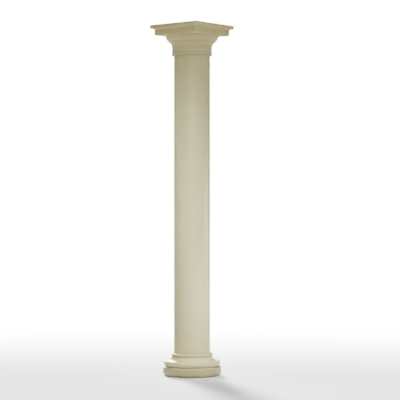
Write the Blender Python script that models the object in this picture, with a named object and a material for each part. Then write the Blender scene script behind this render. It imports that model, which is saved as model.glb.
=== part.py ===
"""
Doric column: a round moulded base, a plain round shaft and a capital with a square abacus.

Metres, +Z up. The origin is the centre of the foot, on the ground, and the sides of the
abacus run along X and Y. Each piece is cast in one, and they stand on each other on flat beds.
"""

from math import atan2, cos, hypot, pi, radians, sin, sqrt, tan, tau

import bmesh
import bpy

# Whole column
COLUMN_HEIGHT = 2.420
SHAFT_RADIUS = 0.125
BED_GAP = 0.0003  # between the flat beds of two pieces

# Base, from the shaft outwards and down; each step out is measured from the moulding above
RING_OUT = 0.0178
RING_HEIGHT = 0.018
RING_BULGE = 0.006
QUIRK = 0.0015  # how far the edge of the cove stands out from the foot of the ring
BASE_COVE_OUT = 0.0247
BASE_COVE_HEIGHT = 0.033
BASE_COVE_HOLLOW = 0.0042  # deepest hollow of the cove under a straight line
TORUS_OUT = 0.032
TORUS_HEIGHT = 0.036
TORUS_BULGE = 0.012
GROOVE_HEIGHT = 0.003
PLINTH_OUT = 0.009  # at its foot
PLINTH_HEIGHT = 0.065
PLINTH_DRAFT = 0.0045  # how far the plinth leans in from its foot to its top
PLINTH_TOP_ROUND = 0.012
PLINTH_FOOT_ROUND = 0.026

# Bell of the capital, from the shaft outwards and up
NECK_OUT = 0.013
NECK_HEIGHT = 0.035
COLLAR_OUT = 0.002  # beyond the neck, at the foot of the neck
COLLAR_HEIGHT = 0.0155
COLLAR_ROUND = 0.002
BELL_COVE_OUT = 0.0158
BELL_COVE_HEIGHT = 0.038
ANNULET_OUT = 0.005
ANNULET_HEIGHT = 0.004
ECHINUS_OUT = 0.0252
ECHINUS_HEIGHT = 0.047

# Abacus, from the echinus that carries it outwards and up
ABACUS_MARGIN = 0.0005  # from the widest of the echinus to the face of the fascia
FASCIA_HEIGHT = 0.030
ABACUS_COVE_OUT = 0.0125
ABACUS_COVE_HEIGHT = 0.015
CROWN_OUT = 0.0105
CROWN_HEIGHT = 0.025
CROWN_ROUND = 0.0015

# Fineness of the facets
ROUND_SIDES = 72
EDGE_STEPS = 2
CURVE_STEPS = 5
BULGE_STEPS = 8

# What follows from these
NECK_RADIUS = SHAFT_RADIUS + NECK_OUT
ANNULET_RADIUS = NECK_RADIUS + BELL_COVE_OUT + ANNULET_OUT
ECHINUS_RADIUS = ANNULET_RADIUS + ECHINUS_OUT
BASE_HEIGHT = PLINTH_HEIGHT + GROOVE_HEIGHT + TORUS_HEIGHT + BASE_COVE_HEIGHT + RING_HEIGHT
BELL_HEIGHT = COLLAR_HEIGHT + NECK_HEIGHT + BELL_COVE_HEIGHT + ANNULET_HEIGHT + ECHINUS_HEIGHT
ABACUS_HEIGHT = FASCIA_HEIGHT + ABACUS_COVE_HEIGHT + CROWN_HEIGHT
ABACUS_Z = COLUMN_HEIGHT - ABACUS_HEIGHT
CAPITAL_Z = ABACUS_Z - BELL_HEIGHT


def clear_scene():
    for item in list(bpy.data.objects):
        bpy.data.objects.remove(item, do_unlink=True)


def cast_stone():
    """Smooth, cream-coloured cast stone, the same mix in every piece."""
    material = bpy.data.materials.new("cast_stone")
    material.use_nodes = True
    shader = material.node_tree.nodes["Principled BSDF"]
    shader.inputs["Base Color"].default_value = (0.66, 0.62, 0.47, 1.0)
    shader.inputs["Roughness"].default_value = 0.45
    shader.inputs["Metallic"].default_value = 0.0
    return material


# Outlines are lists of (radius, height) points that run up the outer side of a piece.


def arc(low, high, swell, steps=CURVE_STEPS):
    """
    Circular arc from low to high whose middle stands out from the straight line by swell,
    or lies under it when swell is negative.
    """
    out = high[0] - low[0]
    up = high[1] - low[1]
    chord = hypot(out, up)
    radius = chord**2 / (8 * swell) + swell / 2
    offset = (swell - radius) / chord
    centre = ((low[0] + high[0]) / 2 + up * offset, (low[1] + high[1]) / 2 - out * offset)
    start = atan2(low[1] - centre[1], low[0] - centre[0])
    turn = atan2(high[1] - centre[1], high[0] - centre[0]) - start
    turn = (turn + pi) % tau - pi
    size = abs(radius)
    angles = [start + turn * step / steps for step in range(steps + 1)]
    return [(centre[0] + size * cos(a), centre[1] + size * sin(a)) for a in angles]


def upright_swell(out, height):
    """Swell of an arc that stands upright at one of its ends."""
    return hypot(out, height) / 2 * tan(atan2(out, height) / 2)


def bulge(radius, out, low, height):
    """Half ellipse that swells by out, up to the radius, and back over its height."""
    angles = [pi * (step / BULGE_STEPS - 0.5) for step in range(BULGE_STEPS + 1)]
    return [(radius - out + out * cos(a), low + height / 2 * (1 + sin(a))) for a in angles]


def rounded(before, corner, after, radius, steps=CURVE_STEPS):
    """Arc of the radius in place of a corner, which runs no further than the points beside it."""
    sides = [(point[0] - corner[0], point[1] - corner[1]) for point in (before, after)]
    lengths = [hypot(*side) for side in sides]
    (ax, ay), (bx, by) = [(s[0] / n, s[1] / n) for s, n in zip(sides, lengths)]
    half_angle = abs(atan2(ax * by - ay * bx, ax * bx + ay * by)) / 2
    run = min(radius / tan(half_angle), *lengths)
    start = (corner[0] + ax * run, corner[1] + ay * run)
    end = (corner[0] + bx * run, corner[1] + by * run)
    return arc(start, end, run * tan(half_angle) * (1 - sin(half_angle)), steps)


def base_outline():
    """The base, from its foot up to the bed that carries the shaft."""
    torus_z = PLINTH_HEIGHT + GROOVE_HEIGHT
    cove_z = torus_z + TORUS_HEIGHT
    ring_z = cove_z + BASE_COVE_HEIGHT
    ring = SHAFT_RADIUS + RING_OUT
    cove_top = ring - RING_BULGE + QUIRK
    cove_foot = cove_top + BASE_COVE_OUT
    torus = cove_foot + TORUS_OUT
    groove = torus - TORUS_BULGE
    plinth_foot = (torus + PLINTH_OUT, 0)
    plinth_top = (torus + PLINTH_OUT - PLINTH_DRAFT, PLINTH_HEIGHT)
    plinth_middle = (torus + PLINTH_OUT - PLINTH_DRAFT / 2, PLINTH_HEIGHT / 2)
    return [
        *rounded((0, 0), plinth_foot, plinth_middle, PLINTH_FOOT_ROUND),
        *rounded(plinth_middle, plinth_top, (groove, PLINTH_HEIGHT), PLINTH_TOP_ROUND),
        (groove, PLINTH_HEIGHT),
        *bulge(torus, TORUS_BULGE, torus_z, TORUS_HEIGHT),
        *arc((cove_foot, cove_z), (cove_top, ring_z), -BASE_COVE_HOLLOW),
        *bulge(ring, RING_BULGE, ring_z, RING_HEIGHT),
    ]


def shaft_outline():
    return [(SHAFT_RADIUS, BASE_HEIGHT + BED_GAP), (SHAFT_RADIUS, CAPITAL_Z - BED_GAP)]


def bell_outline():
    """The round part of the capital, run up into the abacus so that the two can be made one."""
    collar = NECK_RADIUS + COLLAR_OUT
    collar_top = CAPITAL_Z + COLLAR_HEIGHT
    cove_z = collar_top + NECK_HEIGHT
    annulet_z = cove_z + BELL_COVE_HEIGHT
    echinus_z = annulet_z + ANNULET_HEIGHT
    cove_foot = (NECK_RADIUS, cove_z)
    cove_top = (NECK_RADIUS + BELL_COVE_OUT, annulet_z)
    echinus_foot = (ANNULET_RADIUS, echinus_z)
    echinus_top = (ECHINUS_RADIUS, ABACUS_Z)
    return [
        *rounded((0, CAPITAL_Z), (collar, CAPITAL_Z), (collar, collar_top), COLLAR_ROUND, EDGE_STEPS),
        (collar, collar_top),
        (NECK_RADIUS, collar_top),
        *arc(cove_foot, cove_top, -upright_swell(BELL_COVE_OUT, BELL_COVE_HEIGHT)),
        (ANNULET_RADIUS, annulet_z),
        *arc(echinus_foot, echinus_top, upright_swell(ECHINUS_OUT, ECHINUS_HEIGHT)),
        (ECHINUS_RADIUS, ABACUS_Z + FASCIA_HEIGHT / 2),
    ]


def abacus_outline():
    """The middle of one side of the abacus, from its bed up to the flat top of the column."""
    cove_z = ABACUS_Z + FASCIA_HEIGHT
    crown_z = cove_z + ABACUS_COVE_HEIGHT
    fascia = ECHINUS_RADIUS + ABACUS_MARGIN
    cove_top = fascia + ABACUS_COVE_OUT
    crown = cove_top + CROWN_OUT
    cove_swell = -upright_swell(ABACUS_COVE_OUT, ABACUS_COVE_HEIGHT)
    crown_top = (crown, COLUMN_HEIGHT)
    return [
        (fascia, ABACUS_Z),
        *arc((fascia, cove_z), (cove_top, crown_z), cove_swell),
        (crown, crown_z),
        *rounded((crown, crown_z), crown_top, (0, COLUMN_HEIGHT), CROWN_ROUND, EDGE_STEPS),
    ]


def spun(name, outline, sides, first_corner, material):
    """Closed solid of an outline turned about Z in flat sides, with a corner at first_corner."""
    bm = bmesh.new()
    points = [
        bm.verts.new((radius * cos(first_corner), radius * sin(first_corner), height))
        for radius, height in [(0, outline[0][1]), *outline, (0, outline[-1][1])]
    ]
    lines = [bm.edges.new(pair) for pair in zip(points, points[1:])]
    bmesh.ops.spin(
        bm, geom=points + lines, cent=(0, 0, 0), axis=(0, 0, 1), angle=tau, steps=sides, use_merge=True
    )
    bmesh.ops.remove_doubles(bm, verts=bm.verts, dist=1e-6)
    bmesh.ops.recalc_face_normals(bm, faces=bm.faces)
    mesh = bpy.data.meshes.new(name)
    bm.to_mesh(mesh)
    bm.free()
    mesh.shade_smooth()
    mesh.set_sharp_from_angle(angle=radians(32))
    mesh.materials.append(material)
    piece = bpy.data.objects.new(name, mesh)
    bpy.context.scene.collection.objects.link(piece)
    return piece


def round_solid(name, outline, material):
    return spun(name, outline, ROUND_SIDES, 0, material)


def square_solid(name, outline, material):
    """The same on a square plan whose sides run along X and Y, with mitred corners."""
    diagonal = [(half_side * sqrt(2), height) for half_side, height in outline]
    return spun(name, diagonal, 4, radians(45), material)


def make_capital(material):
    """The round bell and the square abacus, cast in one."""
    capital = round_solid("capital", bell_outline(), material)
    abacus = square_solid("abacus_guide", abacus_outline(), material)
    abacus.hide_render = True
    abacus.display_type = "WIRE"
    union = capital.modifiers.new("abacus", "BOOLEAN")
    union.operation = "UNION"
    union.object = abacus
    return capital


def main():
    clear_scene()
    material = cast_stone()
    round_solid("base", base_outline(), material)
    round_solid("shaft", shaft_outline(), material)
    make_capital(material)


main()
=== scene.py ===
"""
Looks of the doric column: three castings of smooth cream stone on a pale studio floor.

Metres, +Z up. Each casting is modelled finely around the solid that it stands for, on the same
moulding sizes, with the softened arrises and the slightly uneven faces of stone from a mould.
"""

from math import atan2, cos, hypot, pi, radians, sin, tan, tau

import bpy
import numpy as np
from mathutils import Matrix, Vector, noise


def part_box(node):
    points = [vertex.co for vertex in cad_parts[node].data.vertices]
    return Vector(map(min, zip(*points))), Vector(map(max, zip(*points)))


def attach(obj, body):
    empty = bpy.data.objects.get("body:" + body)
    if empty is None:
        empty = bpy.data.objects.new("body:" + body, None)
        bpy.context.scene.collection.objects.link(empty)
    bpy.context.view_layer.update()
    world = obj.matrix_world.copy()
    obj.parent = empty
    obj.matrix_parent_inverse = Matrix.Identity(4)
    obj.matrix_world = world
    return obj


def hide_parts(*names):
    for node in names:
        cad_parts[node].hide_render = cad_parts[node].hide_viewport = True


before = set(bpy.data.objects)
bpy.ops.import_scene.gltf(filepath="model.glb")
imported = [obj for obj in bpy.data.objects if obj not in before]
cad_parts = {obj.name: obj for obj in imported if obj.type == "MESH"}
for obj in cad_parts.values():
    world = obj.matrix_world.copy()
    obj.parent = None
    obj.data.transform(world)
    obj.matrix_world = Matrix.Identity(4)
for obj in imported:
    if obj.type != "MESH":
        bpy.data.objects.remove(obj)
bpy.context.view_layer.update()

base_low, base_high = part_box("base")
shaft_low, shaft_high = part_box("shaft")
capital_low, capital_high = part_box("capital")

# Base, from the shaft outwards and down; each step out is measured from the moulding above
SHAFT_RADIUS = (shaft_high.x - shaft_low.x) / 2
RING_OUT = 0.0178
RING_HEIGHT = 0.018
RING_BULGE = 0.006
QUIRK = 0.0015  # how far the edge of the cove stands out from the foot of the ring
BASE_COVE_OUT = 0.0247
BASE_COVE_HEIGHT = 0.033
BASE_COVE_HOLLOW = 0.0042  # deepest hollow of the cove under a straight line
TORUS_OUT = 0.032
TORUS_HEIGHT = 0.036
TORUS_BULGE = 0.012
GROOVE_HEIGHT = 0.003
PLINTH_OUT = 0.009  # at its foot
PLINTH_HEIGHT = 0.065
PLINTH_DRAFT = 0.0045  # how far the plinth leans in from its foot to its top
PLINTH_TOP_ROUND = 0.012
PLINTH_FOOT_ROUND = 0.026

# Bell of the capital, from the shaft outwards and up
NECK_OUT = 0.013
NECK_HEIGHT = 0.035
COLLAR_OUT = 0.002  # beyond the neck, at the foot of the neck
COLLAR_HEIGHT = 0.0155
BELL_COVE_OUT = 0.0158
BELL_COVE_HEIGHT = 0.038
ANNULET_OUT = 0.005
ANNULET_HEIGHT = 0.004
ECHINUS_OUT = 0.0252
ECHINUS_HEIGHT = 0.047

# Abacus, from the echinus that carries it outwards and up
ABACUS_MARGIN = 0.0005  # from the widest of the echinus to the face of the fascia
FASCIA_HEIGHT = 0.030
ABACUS_COVE_OUT = 0.0125
ABACUS_COVE_HEIGHT = 0.015
CROWN_OUT = 0.0105

# Softness of the castings
ARRIS_SOFTNESS = 0.0007  # spread of the rounding along the outline
ABACUS_CORNER = 0.003  # radius of the upright corners of the abacus
SWAY = 0.0003  # slow unevenness of the faces
SWAY_LENGTH = 0.22  # from one swell to the next, roughly
RIPPLE = 0.00008  # quicker unevenness
RIPPLE_LENGTH = 0.05
BASE_SEED = Vector((3, 0, 0))  # where each casting takes its unevenness from the noise
SHAFT_SEED = Vector((0, 7, 0))
CAPITAL_SEED = Vector((0, 0, 11))
BED_CALM = 0.004  # height beside a bed over which the unevenness dies away
# The darker tone of a recess is painted shade.
RECESS_REACH = 0.004  # how far the darker tone of a recess spreads beside it

# Patterns in the stone: repeats to the metre, fineness, and the share and size of spots
CLOUDS = {"scale": 5, "detail": 4}
PATCHES = {"scale": 28, "detail": 3}
STREAKS = {"scale": 16, "detail": 2, "stretch": (1, 1, 0.08)}
GRAIN = {"scale": 850, "detail": 3}
GRIT = {"scale": 420, "share": 0.35, "size": 0.32}
PORES = {"scale": 55, "share": 0.22, "size": 0.07}
NOISE_SPAN = (0.3, 0.7)  # where most of a soft pattern lies
SHARE_EDGE = 0.001  # half the width of the cut between spots that are kept and left out
SPOT_EDGE = 0.5  # softness of a spot's edge, of its size

# How much paler or darker each makes the stone
CLOUD_TONE = 0.018
PATCH_TONE = 0.012
STREAK_TONE = 0.010
GRAIN_TONE = 0.05
GRIT_DARKER = 0.07
PORE_DARKER = 0.35
ARRIS_PALER = 0.05
# Painted shade in the recesses, darker where the outline turns inwards.
RECESS_PAINTED_SHADE = 0.17
# Painted light: the base is made paler than the shaft, standing in for more light falling on it.
BASE_PAINTED_LIGHT = 0.10  # than the shaft
# The plinth is made darker again, which takes back the painted light of the base there.
FOOT_DARKER = 0.25  # of the plinth, against the base

# Where these changes lie
ARRIS_SPAN = (150, 700)  # turning, in radians to the metre
RECESS_SPAN = (-170, -35)  # turning inwards, spread over the reach of a recess
BED_BLEND = 0.001  # half the height over which the tone of the base ends
FOOT_BLEND = 0.004  # height below the groove over which the tone of the plinth ends
HEAD_BLEND = 0.08  # height over which the capital grows warmer

# Colours, satin and fine relief of the stone
CREAM = (0.66, 0.612, 0.345, 1)
PALE_CREAM = (0.66, 0.622, 0.375, 1)
WARM_CREAM = (0.66, 0.60, 0.325, 1)  # of the capital
FOOT_WARMTH = 0.4  # of the plinth, against the capital
# Warm tint of the painted shade in the recesses, with some dust.
DUST_AND_SHADE = (0.60, 0.55, 0.27, 1)  # in the recesses
ROUGHNESS_SPAN = (0.36, 0.44)
GRAIN_ROUGHNESS = 0.03
ARRIS_SMOOTHER = 0.04
RELIEF_DEPTH = 0.0005
RELIEF_STRENGTH = 0.6
GRAIN_RELIEF = 0.03
PATCH_RELIEF = 0.12

# Fineness of the meshes
CURVE_STEPS = 32  # in each arc and bulge, before the points are thinned out
SAMPLE = 0.0002  # spacing of the points along an outline before it is thinned out
LONGEST_STEP = 0.007
SHAFT_STEP = 0.011
SHARPEST_TURN = radians(9)
CURVE_REACH = 4  # how far a bell curve is followed to each side, in its own spreads
ROUND_STEPS = 256
SIDE_STEPS = 60  # along each side of the abacus
CORNER_STEPS = 4  # for each half of a corner of the abacus
BED_RADIUS = 0.05  # the middle of each flat bed, one face

# Camera, level, from the photograph
CAMERA_AZIMUTH = radians(39.7)
CAMERA_DISTANCE = 10.04
CAMERA_HEIGHT = 1.212
CAMERA_RIGHT = 0.0554
FOCAL_PIXELS = 1450
PICTURE_PIXELS = 400
SENSOR = 36

# Stage
FLOOR_RADIUS = 80
FLOOR_SIDES = 96
FLOOR_DROP = 0.0002  # under the foot, so that the two flat faces never share a plane
FLOOR_COLOUR = (0.63, 0.63, 0.63, 1)
FLOOR_ROUGHNESS = 0.7
FLOOR_SHEEN = 0.5
FLOOR_GLOW = 0.23  # in front of the column
GLOW_START = 2.0  # on the other sides
GLOW_RISE = 0.62  # a metre behind the column, or beyond the start
GLOW_POWER = 1.35
GLOW_LIMIT = 3.4
GLOW_SLOPE = 0.22  # more of it for each metre to the camera's right
SLOPE_SPAN = (-0.3, 0.4)  # the least and the most that this adds
WHITE_STRENGTH = 4.7  # of the backdrop that the camera sees
AMBIENT_STRENGTH = 0.05  # of the light that the backdrop gives

# Suns: name, angle around the column from the camera's side, rise, strength and width
SUNS = (
    ("key", -164, 33, 4.0, 14),
    ("low_key", -165, 19, 2.3, 12),
)

# Lamps: name, angle, distance, height, height aimed at, size, watts and, where narrow, spread
LAMPS = (
    ("front", 0, 3.5, 2.4, 0.9, 0.8, 3.5, 40),
    ("right_panel", 60, 2.2, 4.2, 3.0, 3.0, 26.5),
    ("left_top", -30, 2.0, 3.8, 0.0, 1.0, 10.0),
    ("left_base", -40, 1.5, 3.2, 0.0, 0.6, 1.17, 50),
    ("right_foot", 30, 1.5, 0.5, 0.3, 0.5, 2.08),
    ("right_base", 45, 1.5, 0.9, 0.35, 0.5, 0.44, 40),
    ("above_base", 0, 0.6, 3.4, 0.0, 0.4, 0.38, 20),
    ("right_card", 102, 2.5, 1.1, 0.75, 0.6, 1.6, 50),
    ("left_card", -100, 2.5, 1.9, 1.6, 0.6, 0.25, 40),
)


# Outlines are lists of (radius, height) points that run up the outer side of a piece.


def arc(low, high, swell):
    """
    Circular arc from low to high whose middle stands out from the straight line by swell,
    or lies under it when swell is negative.
    """
    out = high[0] - low[0]
    up = high[1] - low[1]
    chord = hypot(out, up)
    radius = chord**2 / (8 * swell) + swell / 2
    offset = (swell - radius) / chord
    centre = ((low[0] + high[0]) / 2 + up * offset, (low[1] + high[1]) / 2 - out * offset)
    start = atan2(low[1] - centre[1], low[0] - centre[0])
    turn = atan2(high[1] - centre[1], high[0] - centre[0]) - start
    turn = (turn + pi) % tau - pi
    size = abs(radius)
    angles = [start + turn * step / CURVE_STEPS for step in range(CURVE_STEPS + 1)]
    return [(centre[0] + size * cos(a), centre[1] + size * sin(a)) for a in angles]


def upright_swell(out, height):
    """Swell of an arc that stands upright at one of its ends."""
    return hypot(out, height) / 2 * tan(atan2(out, height) / 2)


def bulge(radius, out, low, height):
    """Half ellipse that swells by out, up to the radius, and back over its height."""
    angles = [pi * (step / CURVE_STEPS - 0.5) for step in range(CURVE_STEPS + 1)]
    return [(radius - out + out * cos(a), low + height / 2 * (1 + sin(a))) for a in angles]


def rounded(before, corner, after, radius):
    """Arc of the radius in place of a corner, which runs no further than the points beside it."""
    sides = [(point[0] - corner[0], point[1] - corner[1]) for point in (before, after)]
    lengths = [hypot(*side) for side in sides]
    (ax, ay), (bx, by) = [(s[0] / n, s[1] / n) for s, n in zip(sides, lengths)]
    half_angle = abs(atan2(ax * by - ay * bx, ax * bx + ay * by)) / 2
    run = min(radius / tan(half_angle), *lengths)
    start = (corner[0] + ax * run, corner[1] + ay * run)
    end = (corner[0] + bx * run, corner[1] + by * run)
    return arc(start, end, run * tan(half_angle) * (1 - sin(half_angle)))


def base_outline():
    """The base, from the middle of its foot up to the bed that carries the shaft."""
    torus_z = base_low.z + PLINTH_HEIGHT + GROOVE_HEIGHT
    cove_z = torus_z + TORUS_HEIGHT
    ring_z = cove_z + BASE_COVE_HEIGHT
    ring = SHAFT_RADIUS + RING_OUT
    cove_top = ring - RING_BULGE + QUIRK
    cove_foot = cove_top + BASE_COVE_OUT
    torus = cove_foot + TORUS_OUT
    groove = torus - TORUS_BULGE
    plinth_z = base_low.z + PLINTH_HEIGHT
    plinth_foot = (torus + PLINTH_OUT, base_low.z)
    plinth_top = (torus + PLINTH_OUT - PLINTH_DRAFT, plinth_z)
    plinth_middle = (torus + PLINTH_OUT - PLINTH_DRAFT / 2, base_low.z + PLINTH_HEIGHT / 2)
    return [
        (BED_RADIUS, base_low.z),
        *rounded((0, base_low.z), plinth_foot, plinth_middle, PLINTH_FOOT_ROUND),
        *rounded(plinth_middle, plinth_top, (groove, plinth_z), PLINTH_TOP_ROUND),
        (groove, plinth_z),
        *bulge(torus, TORUS_BULGE, torus_z, TORUS_HEIGHT),
        *arc((cove_foot, cove_z), (cove_top, ring_z), -BASE_COVE_HOLLOW),
        *bulge(ring, RING_BULGE, ring_z, RING_HEIGHT),
        (BED_RADIUS, base_high.z),
    ]


def shaft_outline():
    """The shaft, from its foot up to the bed that carries the capital."""
    return [
        (BED_RADIUS, shaft_low.z),
        (SHAFT_RADIUS, shaft_low.z),
        (SHAFT_RADIUS, shaft_high.z),
        (BED_RADIUS, shaft_high.z),
    ]


def bell_outline():
    """The round part of the capital, from its bed up to the underside of the abacus."""
    neck = SHAFT_RADIUS + NECK_OUT
    collar = neck + COLLAR_OUT
    annulet = neck + BELL_COVE_OUT + ANNULET_OUT
    collar_top = capital_low.z + COLLAR_HEIGHT
    cove_z = collar_top + NECK_HEIGHT
    annulet_z = cove_z + BELL_COVE_HEIGHT
    echinus_z = annulet_z + ANNULET_HEIGHT
    cove_top = (neck + BELL_COVE_OUT, annulet_z)
    cove_swell = -upright_swell(BELL_COVE_OUT, BELL_COVE_HEIGHT)
    echinus_top = (annulet + ECHINUS_OUT, echinus_z + ECHINUS_HEIGHT)
    return [
        (BED_RADIUS, capital_low.z),
        (collar, capital_low.z),
        (collar, collar_top),
        (neck, collar_top),
        *arc((neck, cove_z), cove_top, cove_swell),
        (annulet, annulet_z),
        *arc((annulet, echinus_z), echinus_top, upright_swell(ECHINUS_OUT, ECHINUS_HEIGHT)),
    ]


def abacus_outline(bell):
    """The middle of one side of the abacus, from the edge of the bell up to the flat top."""
    echinus, abacus_z = bell[-1]
    fascia = echinus + ABACUS_MARGIN
    cove_z = abacus_z + FASCIA_HEIGHT
    crown_z = cove_z + ABACUS_COVE_HEIGHT
    cove_top = fascia + ABACUS_COVE_OUT
    cove_swell = -upright_swell(ABACUS_COVE_OUT, ABACUS_COVE_HEIGHT)
    crown = cove_top + CROWN_OUT
    return [
        (fascia, abacus_z),
        *arc((fascia, cove_z), (cove_top, crown_z), cove_swell),
        (crown, crown_z),
        (crown, capital_high.z),
        (BED_RADIUS, capital_high.z),
    ]


def bell_curve(spread):
    """Weights of a bell curve over the points of an outline, which add up to 1."""
    reach = int(CURVE_REACH * spread / SAMPLE)
    kernel = np.exp(-0.5 * (np.arange(-reach, reach + 1) * SAMPLE / spread) ** 2)
    return kernel / kernel.sum()


def softened(outline, longest_step=LONGEST_STEP):
    """
    The outline with its arrises and inner corners rounded as a mould leaves them, thinned out to
    steps that are short where it turns. Returns the points, their normals, how sharply each
    turns, positive where it stands out, and how deep in a recess it lies, negative there.
    """
    corners = np.array(outline)
    along = np.concatenate([[0], np.cumsum(np.hypot(*np.diff(corners, axis=0).T))])
    places = np.linspace(0, along[-1], int(along[-1] / SAMPLE) + 1)
    dense = np.column_stack([np.interp(places, along, corners[:, axis]) for axis in (0, 1)])

    kernel = bell_curve(ARRIS_SOFTNESS)
    reach = len(kernel) // 2
    padded = np.pad(dense, ((reach, reach), (0, 0)), mode="reflect", reflect_type="odd")
    smooth = [np.convolve(padded[:, axis], kernel, mode="valid") for axis in (0, 1)]
    smooth = np.column_stack(smooth)

    tangent = np.gradient(smooth, places, axis=0)
    heading = np.unwrap(np.arctan2(tangent[:, 1], tangent[:, 0]))
    turning = np.gradient(heading, places)
    hollow = np.convolve(np.minimum(turning, 0), bell_curve(RECESS_REACH), mode="same")
    effort = np.abs(turning) / SHARPEST_TURN + 1 / longest_step
    effort = np.concatenate([[0], np.cumsum((effort[1:] + effort[:-1]) / 2 * np.diff(places))])
    chosen = np.interp(np.linspace(0, effort[-1], int(effort[-1]) + 2), effort, places)

    points = np.column_stack([np.interp(chosen, places, smooth[:, axis]) for axis in (0, 1)])
    angle = np.interp(chosen, places, heading)
    normals = np.column_stack([np.sin(angle), -np.cos(angle)])
    return points, normals, np.interp(chosen, places, turning), np.interp(chosen, places, hollow)


def circle_plan():
    """A function from a radius to the ring of (x, y) points at it."""
    angles = np.linspace(0, tau, ROUND_STEPS, endpoint=False)
    return lambda radius: radius * np.column_stack([np.cos(angles), np.sin(angles)])


def square_ring(half_side):
    """
    Ring of (x, y) points on a square with slightly rounded corners, from the corner before the
    +X side all the way round.
    """
    inner = half_side - ABACUS_CORNER
    limit = atan2(inner, half_side)
    turns = np.linspace(-pi / 4, 0, CORNER_STEPS, endpoint=False)
    corner_x = inner + ABACUS_CORNER * np.cos(turns)
    corner = np.column_stack([corner_x, -inner + ABACUS_CORNER * np.sin(turns)])
    side = half_side * np.tan(np.linspace(-limit, limit, SIDE_STEPS + 1))
    face = np.column_stack([np.full_like(side, half_side), side])
    quarter = np.concatenate([corner, face, corner[:0:-1] * (1, -1)])
    ring = []
    for quarter_turn in range(4):
        c, s = round(cos(quarter_turn * pi / 2)), round(sin(quarter_turn * pi / 2))
        ring.append(quarter @ np.array([[c, s], [-s, c]]))
    return np.concatenate(ring)


def uneven(place, seed):
    """How far a face made in a mould lies from its true place."""
    slow = noise.noise(Vector(place) / SWAY_LENGTH + seed)
    quick = noise.noise(Vector(place) / RIPPLE_LENGTH + seed)
    return SWAY * slow + RIPPLE * quick


def casting(name, node, rings, normals, turning, hollow, seed, material):
    """
    Closed mesh of rings of points from the foot up, with a flat face in the middle of each bed.
    Its point attributes say where its arrises and its recesses are.
    """
    count, steps = rings.shape[:2]
    heights = rings[:, 0, 2]
    calm = np.minimum(heights - heights.min(), heights.max() - heights) / BED_CALM
    calm = np.clip(calm, 0, 1)
    points = rings.reshape(-1, 3)
    outward = normals.reshape(-1, 3)
    shift = np.array([uneven(p, seed) for p in points]) * np.repeat(calm, steps)
    points = points + outward * shift[:, None]

    low = np.arange(count - 1)[:, None] * steps + np.arange(steps)
    following = np.arange(count - 1)[:, None] * steps + (np.arange(steps) + 1) % steps
    quads = np.stack([low, following, following + steps, low + steps], axis=-1).reshape(-1, 4)
    beds = [range(steps - 1, -1, -1), range((count - 1) * steps, count * steps)]
    mesh = bpy.data.meshes.new(name)
    mesh.from_pydata(points.tolist(), [], quads.tolist() + [list(bed) for bed in beds])
    mesh.shade_smooth()
    for label, values in (("turning", turning), ("hollow", hollow)):
        attribute = mesh.attributes.new(label, "FLOAT", "POINT")
        attribute.data.foreach_set("value", np.repeat(values, steps).astype(np.float32))
    mesh.materials.append(material)

    piece = bpy.data.objects.new(name, mesh)
    bpy.context.scene.collection.objects.link(piece)
    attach(piece, "root")
    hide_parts(node)
    return piece


def round_rings(points, normals, ring):
    """3-D points and normals of an outline taken around the axis, on rings of the given plan."""
    unit = ring(1.0)
    rings = [np.column_stack([unit * r, np.full(len(unit), z)]) for r, z in points]
    outward = [np.column_stack([unit * n, np.full(len(unit), up)]) for n, up in normals]
    return np.array(rings), np.array(outward)


def make_round_casting(name, node, outline, longest_step, seed, material):
    """A casting with a round plan at every height."""
    points, normals, turning, hollow = softened(outline, longest_step)
    rings, outward = round_rings(points, normals, circle_plan())
    return casting(name, node, rings, outward, turning, hollow, seed, material)


def make_capital(seed, material):
    """The round bell and the square abacus, one mesh whose rings go from round to square."""
    bell = bell_outline()
    points, normals, turning, hollow = softened(bell + abacus_outline(bell))
    abacus_z = bell[-1][1]
    echinus = bell[-1][0]
    on_bell = (points[:, 1] < abacus_z) & (points[:, 0] < echinus)
    first_square = int(np.argmin(on_bell))
    reference = square_ring(echinus)
    directions = reference / np.linalg.norm(reference, axis=1)[:, None]
    rings, outward = round_rings(points, normals, lambda radius: radius * directions)
    for row in range(first_square, len(points)):
        rings[row, :, :2] = square_ring(points[row, 0])
    return casting("capital_casting", "capital", rings, outward, turning, hollow, seed, material)


# Materials


def link(tree, source, target):
    tree.links.new(source, target)


def feed(tree, value, target):
    """Sets a socket to a number or a colour, or links another node's output to it."""
    if isinstance(value, (int, float, tuple)):
        target.default_value = value
    else:
        link(tree, value, target)


def field(tree, coordinates, scale, detail, stretch=(1, 1, 1)):
    """Soft noise from 0 to 1, scale times to the metre."""
    mapping = tree.nodes.new("ShaderNodeMapping")
    mapping.inputs["Scale"].default_value = stretch
    link(tree, coordinates, mapping.inputs["Vector"])
    texture = tree.nodes.new("ShaderNodeTexNoise")
    texture.inputs["Scale"].default_value = scale
    texture.inputs["Detail"].default_value = detail
    link(tree, mapping.outputs["Vector"], texture.inputs["Vector"])
    return texture.outputs["Fac"]


def remapped(tree, value, span, new_span, how="SMOOTHSTEP"):
    """Takes one span of values to another, and stays within it."""
    node = tree.nodes.new("ShaderNodeMapRange")
    node.interpolation_type = how
    for label, limit in zip(("From Min", "From Max", "To Min", "To Max"), (*span, *new_span)):
        node.inputs[label].default_value = limit
    link(tree, value, node.inputs["Value"])
    return node.outputs["Result"]


def combined(tree, operation, first, second):
    """Arithmetic on two values, each of them a number or another node's output."""
    node = tree.nodes.new("ShaderNodeMath")
    node.operation = operation
    feed(tree, first, node.inputs[0])
    feed(tree, second, node.inputs[1])
    return node.outputs["Value"]


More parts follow.
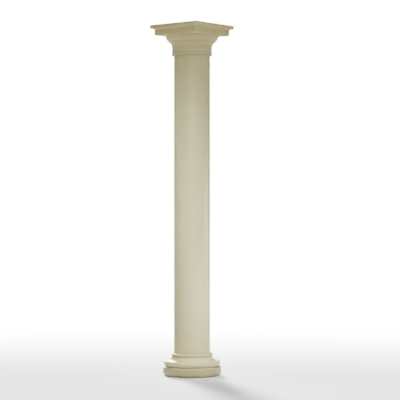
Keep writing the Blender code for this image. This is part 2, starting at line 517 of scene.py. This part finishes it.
def mixed(tree, factor, first, second):
    """A colour that goes from the first to the second as the factor goes from 0 to 1."""
    node = tree.nodes.new("ShaderNodeMix")
    node.data_type = "RGBA"
    link(tree, factor, node.inputs["Factor"])
    feed(tree, first, node.inputs["A"])
    feed(tree, second, node.inputs["B"])
    return node.outputs["Result"]


def point_value(tree, label):
    """A value that the castings carry at each point."""
    node = tree.nodes.new("ShaderNodeAttribute")
    node.attribute_name = label
    return node.outputs["Fac"]


def cells(tree, coordinates, scale, share, size):
    """Small round spots, 1 inside and 0 outside, in a share of the cells of a net."""
    texture = tree.nodes.new("ShaderNodeTexVoronoi")
    texture.inputs["Scale"].default_value = scale
    link(tree, coordinates, texture.inputs["Vector"])
    chance = tree.nodes.new("ShaderNodeSeparateColor")
    link(tree, texture.outputs["Color"], chance.inputs["Color"])
    cut = (share - SHARE_EDGE, share + SHARE_EDGE)
    picked = remapped(tree, chance.outputs["Red"], cut, (1, 0))
    radius = combined(tree, "MULTIPLY", chance.outputs["Green"], size)
    depth = combined(tree, "SUBTRACT", radius, texture.outputs["Distance"])
    spot = remapped(tree, depth, (0, size * SPOT_EDGE), (0, 1))
    return combined(tree, "MULTIPLY", spot, picked)


def cast_stone():
    """Smooth cream cast stone: a soft cloudy tone, fine grain, a few air holes and a satin face,
    with painted shade in its recesses and a painted lighter tone on its base.
    """
    material = bpy.data.materials.new("cast_stone")
    material.use_nodes = True
    tree = material.node_tree
    shader = tree.nodes["Principled BSDF"]
    place = tree.nodes.new("ShaderNodeTexCoord").outputs["Object"]
    separate = tree.nodes.new("ShaderNodeSeparateXYZ")
    link(tree, place, separate.inputs["Vector"])
    height = separate.outputs["Z"]

    clouds = field(tree, place, **CLOUDS)
    patches = field(tree, place, **PATCHES)
    streaks = field(tree, place, **STREAKS)
    grain = field(tree, place, **GRAIN)
    grit = cells(tree, place, **GRIT)
    pores = cells(tree, place, **PORES)

    groove = (PLINTH_HEIGHT - FOOT_BLEND, PLINTH_HEIGHT + GROOVE_HEIGHT)
    base = remapped(tree, height, (base_high.z - BED_BLEND, base_high.z + BED_BLEND), (1, 0))
    foot = remapped(tree, height, groove, (1, 0))
    head = remapped(tree, height, (capital_low.z, capital_low.z + HEAD_BLEND), (0, 1))
    arris = remapped(tree, point_value(tree, "turning"), ARRIS_SPAN, (0, 1))
    # Painted shade where the outline turns inwards, and the stone outside that shade.
    recess = remapped(tree, point_value(tree, "hollow"), RECESS_SPAN, (1, 0))
    outside_painted_shade = combined(tree, "SUBTRACT", 1, combined(tree, "MULTIPLY", recess, 2))
    # Painted light on the base, outside the recesses.
    painted_light_on_base = combined(tree, "MULTIPLY", outside_painted_shade, base)

    tone = 1
    for pattern, reach in (
        (clouds, CLOUD_TONE),
        (patches, PATCH_TONE),
        (streaks, STREAK_TONE),
        (grain, GRAIN_TONE),
    ):
        tone = combined(tree, "ADD", tone, remapped(tree, pattern, NOISE_SPAN, (-reach, reach)))
    for where, change in (
        (grit, -GRIT_DARKER),
        (pores, -PORE_DARKER),
        (painted_light_on_base, BASE_PAINTED_LIGHT),
        (foot, -FOOT_DARKER),
        (arris, ARRIS_PALER),
        (recess, -RECESS_PAINTED_SHADE),
    ):
        tone = combined(tree, "ADD", tone, combined(tree, "MULTIPLY", where, change))

    warmth = combined(tree, "MAXIMUM", head, combined(tree, "MULTIPLY", foot, FOOT_WARMTH))
    colour = mixed(tree, clouds, CREAM, PALE_CREAM)
    colour = mixed(tree, warmth, colour, WARM_CREAM)
    # The painted shade tints the recesses.
    colour = mixed(tree, recess, colour, DUST_AND_SHADE)
    shade = tree.nodes.new("ShaderNodeVectorMath")
    shade.operation = "SCALE"
    link(tree, colour, shade.inputs[0])
    link(tree, tone, shade.inputs["Scale"])
    link(tree, shade.outputs["Vector"], shader.inputs["Base Color"])

    roughness = remapped(tree, patches, NOISE_SPAN, ROUGHNESS_SPAN)
    rougher = remapped(tree, grain, NOISE_SPAN, (-GRAIN_ROUGHNESS, GRAIN_ROUGHNESS))
    smoother = combined(tree, "MULTIPLY", arris, ARRIS_SMOOTHER)
    roughness = combined(tree, "ADD", roughness, rougher)
    roughness = combined(tree, "SUBTRACT", roughness, smoother)
    link(tree, roughness, shader.inputs["Roughness"])

    raised_grain = combined(tree, "MULTIPLY", grain, GRAIN_RELIEF)
    raised_patches = combined(tree, "MULTIPLY", patches, PATCH_RELIEF)
    raised = combined(tree, "ADD", raised_grain, raised_patches)
    raised = combined(tree, "SUBTRACT", raised, pores)
    bump = tree.nodes.new("ShaderNodeBump")
    bump.inputs["Distance"].default_value = RELIEF_DEPTH
    bump.inputs["Strength"].default_value = RELIEF_STRENGTH
    link(tree, raised, bump.inputs["Height"])
    link(tree, bump.outputs["Normal"], shader.inputs["Normal"])
    return material


def reach_along(tree, place, direction):
    """How far a place lies in a direction, times the length of that direction."""
    node = tree.nodes.new("ShaderNodeVectorMath")
    node.operation = "DOT_PRODUCT"
    node.inputs[1].default_value = direction
    link(tree, place, node.inputs[0])
    return node.outputs["Value"]


def floor_glow(tree, place):
    """More glow behind the column and further out, and a little more to the camera's right."""
    away = tree.nodes.new("ShaderNodeVectorMath")
    away.operation = "LENGTH"
    link(tree, place, away.inputs[0])
    behind = reach_along(tree, place, studio(0, -1, 0))
    distance = combined(tree, "SUBTRACT", away.outputs["Value"], GLOW_START)
    distance = combined(tree, "MAXIMUM", combined(tree, "MAXIMUM", distance, behind), 0)
    rise = combined(tree, "MULTIPLY", combined(tree, "POWER", distance, GLOW_POWER), GLOW_RISE)
    strength = combined(tree, "ADD", combined(tree, "MINIMUM", rise, GLOW_LIMIT), FLOOR_GLOW)
    rightward = reach_along(tree, place, studio(GLOW_SLOPE, 0, 0))
    slope = remapped(tree, rightward, SLOPE_SPAN, SLOPE_SPAN, "LINEAR")
    return combined(tree, "MAXIMUM", combined(tree, "ADD", strength, slope), 0)


def floor_material():
    """Matt pale floor that fades into white for the camera, and that is clear from below."""
    material = bpy.data.materials.new("studio_floor")
    material.use_nodes = True
    tree = material.node_tree
    shader = tree.nodes["Principled BSDF"]
    shader.inputs["Base Color"].default_value = FLOOR_COLOUR
    shader.inputs["Roughness"].default_value = FLOOR_ROUGHNESS
    shader.inputs["Specular IOR Level"].default_value = FLOOR_SHEEN
    geometry = tree.nodes.new("ShaderNodeNewGeometry")
    seen = tree.nodes.new("ShaderNodeLightPath").outputs["Is Camera Ray"]
    strength = combined(tree, "MULTIPLY", floor_glow(tree, geometry.outputs["Position"]), seen)
    glow = tree.nodes.new("ShaderNodeEmission")
    link(tree, strength, glow.inputs["Strength"])
    both = tree.nodes.new("ShaderNodeAddShader")
    link(tree, shader.outputs["BSDF"], both.inputs[0])
    link(tree, glow.outputs["Emission"], both.inputs[1])
    clear = tree.nodes.new("ShaderNodeBsdfTransparent")
    one_sided = tree.nodes.new("ShaderNodeMixShader")
    link(tree, geometry.outputs["Backfacing"], one_sided.inputs["Fac"])
    link(tree, both.outputs["Shader"], one_sided.inputs[1])
    link(tree, clear.outputs["BSDF"], one_sided.inputs[2])
    link(tree, one_sided.outputs["Shader"], tree.nodes["Material Output"].inputs["Surface"])
    return material


# Stage, light and camera


def studio(right, near, up):
    """Place given from the column: to the camera's right, towards the camera, and up."""
    a = CAMERA_AZIMUTH
    return Vector((right * cos(a) + near * sin(a), right * sin(a) - near * cos(a), up))


def make_floor():
    bpy.ops.mesh.primitive_circle_add(
        vertices=FLOOR_SIDES, radius=FLOOR_RADIUS, fill_type="NGON", location=(0, 0, -FLOOR_DROP)
    )
    floor = bpy.context.object
    floor.name = "studio_floor"
    floor.data.materials.append(floor_material())


def make_world():
    """White to the camera, and a dimmer even light on everything else."""
    world = bpy.data.worlds.new("studio")
    world.use_nodes = True
    tree = world.node_tree
    light = tree.nodes["Background"]
    light.inputs["Strength"].default_value = AMBIENT_STRENGTH
    light.inputs["Color"].default_value = (1, 1, 1, 1)
    white = tree.nodes.new("ShaderNodeBackground")
    white.inputs["Color"].default_value = (1, 1, 1, 1)
    white.inputs["Strength"].default_value = WHITE_STRENGTH
    choice = tree.nodes.new("ShaderNodeMixShader")
    seen = tree.nodes.new("ShaderNodeLightPath").outputs["Is Camera Ray"]
    link(tree, seen, choice.inputs["Fac"])
    link(tree, light.outputs["Background"], choice.inputs[1])
    link(tree, white.outputs["Background"], choice.inputs[2])
    link(tree, choice.outputs["Shader"], tree.nodes["World Output"].inputs["Surface"])
    bpy.context.scene.world = world


def area_light(name, angle, distance, up, aim_up, size, watts, spread=180):
    """
    Square light that the camera doesn't see, at an angle around the column from the camera's side,
    positive to the right, and aimed at the axis of the column.
    """
    lamp = bpy.data.lights.new(name, "AREA")
    lamp.shape = "SQUARE"
    lamp.size = size
    lamp.energy = watts
    lamp.spread = radians(spread)
    light = bpy.data.objects.new(name, lamp)
    light.location = studio(distance * sin(radians(angle)), distance * cos(radians(angle)), up)
    aim = Vector((0, 0, aim_up)) - light.location
    light.rotation_euler = aim.to_track_quat("-Z", "Y").to_euler()
    light.visible_camera = False
    bpy.context.scene.collection.objects.link(light)


def sun_light(name, angle, rise, strength, wide):
    """Distant light at an angle around the column, rise degrees up and wide degrees across."""
    lamp = bpy.data.lights.new(name, "SUN")
    lamp.energy = strength
    lamp.angle = radians(wide)
    light = bpy.data.objects.new(name, lamp)
    flat = cos(radians(rise))
    towards = studio(flat * sin(radians(angle)), flat * cos(radians(angle)), sin(radians(rise)))
    light.rotation_euler = (-towards).to_track_quat("-Z", "Y").to_euler()
    bpy.context.scene.collection.objects.link(light)


def make_lights():
    for sun in SUNS:
        sun_light(*sun)
    for lamp in LAMPS:
        area_light(*lamp)


def make_camera():
    camera = bpy.data.cameras.new("camera")
    camera.sensor_width = SENSOR
    camera.lens = SENSOR * FOCAL_PIXELS / PICTURE_PIXELS
    view = bpy.data.objects.new("camera", camera)
    view.location = studio(CAMERA_RIGHT, CAMERA_DISTANCE, CAMERA_HEIGHT)
    view.rotation_euler = (pi / 2, 0, CAMERA_AZIMUTH)
    bpy.context.scene.collection.objects.link(view)
    bpy.context.scene.camera = view


def make_column():
    stone = cast_stone()
    make_round_casting("base_casting", "base", base_outline(), LONGEST_STEP, BASE_SEED, stone)
    make_round_casting("shaft_casting", "shaft", shaft_outline(), SHAFT_STEP, SHAFT_SEED, stone)
    make_capital(CAPITAL_SEED, stone)


def main():
    make_camera()
    make_world()
    make_floor()
    make_lights()
    make_column()
    view = bpy.context.scene.view_settings
    view.view_transform = "AgX"
    view.look = "AgX - High Contrast"


main()
